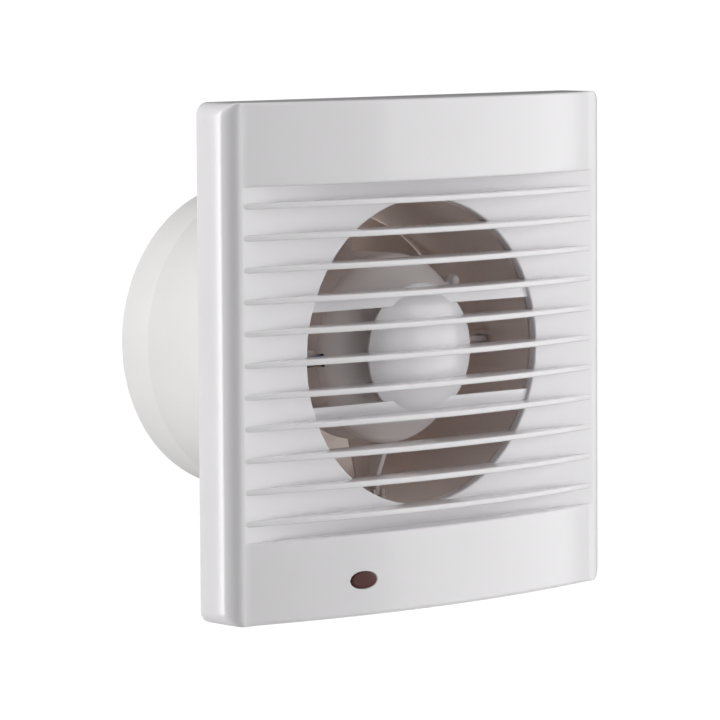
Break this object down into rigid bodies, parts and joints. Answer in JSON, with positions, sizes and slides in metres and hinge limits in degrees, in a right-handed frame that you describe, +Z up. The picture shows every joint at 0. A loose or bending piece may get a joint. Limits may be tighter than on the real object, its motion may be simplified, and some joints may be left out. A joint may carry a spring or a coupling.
{
  "type": "bathroom extractor fan",
  "caption": "Wall fan for a round duct: bowed white cover with horizontal louvres and a blank centre disc, push-in spigot, motor pod and impeller.",
  "frame": {"origin": "on the duct axis in the wall plane, where the back plate meets the wall", "axes": "+Y along the duct into the wall, +Z up, +X to the right seen from the room"},
  "size_m": [0.154, 0.0972, 0.156],
  "materials": {
    "cover_plastic": "glossy white moulded ABS",
    "housing_plastic": "satin white moulded ABS",
    "pod_plastic": "satin off-white moulded ABS",
    "impeller_plastic": "satin off-white moulding",
    "lens_plastic": "deep red polished lens",
    "neon_glass": "clear glass",
    "terminal_plastic": "satin natural nylon",
    "brass": "plain machined brass",
    "zinc_steel": "bright zinc plate",
    "stator_steel": "stacked sheet edges",
    "copper_winding": "enamelled copper wire",
    "pressed_aluminium": "as cast",
    "shaft_steel": "ground",
    "bearing_bronze": "sintered, oiled",
    "grommet_rubber": "matt black",
    "brown_insulation": "satin PVC",
    "blue_insulation": "satin PVC"
  },
  "bodies": {
    "housing": {"duct_housing": "housing_plastic", "motor_pod": "pod_plastic", "motor_cover": "pod_plastic", "motor_cover_screw_1": "zinc_steel", "motor_cover_screw_2": "zinc_steel", "stator_core": "stator_steel", "coil_1": "copper_winding", "coil_2": "copper_winding", "coil_3": "copper_winding", "coil_4": "copper_winding", "front_bracket": "pressed_aluminium", "rear_bracket": "pressed_aluminium", "front_bearing": "bearing_bronze", "rear_bearing": "bearing_bronze", "motor_screw_1": "zinc_steel", "motor_screw_2": "zinc_steel", "terminal_block": "terminal_plastic", "terminal_block_screw": "zinc_steel", "terminal_sleeve_1": "brass", "terminal_sleeve_2": "brass", "terminal_screw_1": "zinc_steel", "terminal_screw_2": "zinc_steel", "terminal_screw_3": "zinc_steel", "terminal_screw_4": "zinc_steel", "cable_clamp": "terminal_plastic", "clamp_screw_1": "zinc_steel", "clamp_screw_2": "zinc_steel", "cable_grommet": "grommet_rubber", "lamp_holder": "terminal_plastic", "neon_lamp": "neon_glass", "motor_lead_neutral": "blue_insulation", "motor_lead_live": "brown_insulation", "lamp_lead_neutral": "blue_insulation", "lamp_lead_live": "brown_insulation"},
    "front": {"front_cover": "cover_plastic", "lamp_lens": "lens_plastic"},
    "rotor": {"shaft": "shaft_steel", "rotor_core": "stator_steel", "rotor_cage": "pressed_aluminium", "impeller": "impeller_plastic", "impeller_clip": "zinc_steel"}
  },
  "joints": [
    {"name": "cover_pull", "type": "slide", "parent": "housing", "child": "front", "axis": [0, -1, 0], "range_m": [0, 0.045]},
    {"name": "impeller_spin", "type": "hinge", "parent": "housing", "child": "rotor", "pos_m": [0, 0.034, 0], "axis": [0, 1, 0], "continuous": true}
  ]
}
